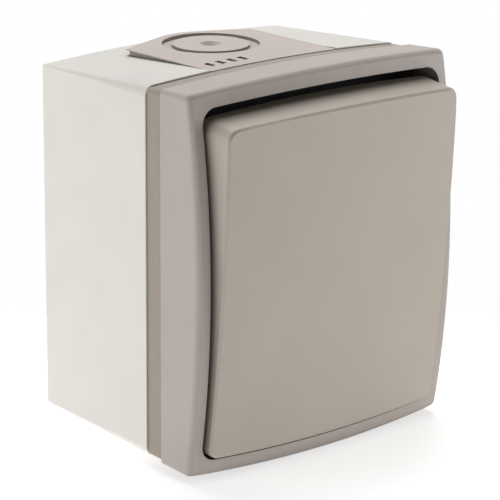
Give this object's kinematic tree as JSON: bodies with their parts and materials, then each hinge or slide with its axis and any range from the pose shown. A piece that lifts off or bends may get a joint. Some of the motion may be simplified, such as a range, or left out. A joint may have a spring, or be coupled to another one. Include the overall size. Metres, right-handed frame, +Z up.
{
  "type": "outdoor weatherproof switch",
  "caption": "Surface-mounted weatherproof rocker switch: flared wall box with top cable grommet, sealed barrel-fronted frame and a wide tilting rocker.",
  "frame": {"origin": "centre of the back face, on the wall", "axes": "+X to the right seen from the front, +Z up, the front looks along -Y"},
  "size_m": [0.077, 0.0648, 0.089],
  "materials": {
    "box_plastic": "fine matte moulded grain",
    "grommet_rubber": "soft matte",
    "seal_plastic": "matte",
    "front_plastic": "fine satin moulded grain",
    "rocker_plastic": "fine satin moulded grain",
    "gaiter_rubber": "matte black",
    "mechanism_plastic": "satin",
    "cover_plastic": "satin",
    "plate_steel": "zinc plated",
    "screw_steel": "zinc plated",
    "pin_steel": "ground",
    "contact_brass": "rolled strip",
    "tip_silver": "silver alloy, satin"
  },
  "bodies": {
    "housing": {"wall_box": "box_plastic", "cable_grommet": "grommet_rubber", "frame_seal": "seal_plastic", "front_frame": "front_plastic", "frame_screws": "screw_steel", "rocker_gaiter": "gaiter_rubber", "mechanism_base": "mechanism_plastic", "mechanism_cover": "cover_plastic", "support_plate": "plate_steel", "plate_screws": "screw_steel", "common_terminal": "contact_brass", "upper_terminal": "contact_brass", "lower_terminal": "contact_brass", "fixed_tips": "tip_silver", "terminal_clamps": "plate_steel", "terminal_screws": "screw_steel"},
    "rocker": {"rocker": "rocker_plastic", "rocker_cradle": "mechanism_plastic", "plunger_spring": "pin_steel"},
    "plunger": {"plunger": "pin_steel"},
    "seesaw": {"contact_seesaw": "contact_brass", "moving_tips": "tip_silver"}
  },
  "joints": [
    {"name": "rocker_tilt", "type": "hinge", "parent": "housing", "child": "rocker", "pos_m": [0, -0.0428, 0], "axis": [-1, 0, 0], "range_deg": [0, 9.6]},
    {"name": "plunger_slide", "type": "slide", "parent": "rocker", "child": "plunger", "axis": [0, -0.9965, -0.0837], "range_m": [0, 0.0012], "stiffness_N_per_m": 500, "springref_m": -0.002, "deforming": ["plunger_spring"]},
    {"name": "seesaw_tilt", "type": "hinge", "parent": "housing", "child": "seesaw", "pos_m": [0, -0.02855, 0], "axis": [1, 0, 0], "range_deg": [0, 9.6]}
  ],
  "couplings": [
    {"joint": "seesaw_tilt", "follows": "rocker_tilt", "ratio": 1}
  ]
}
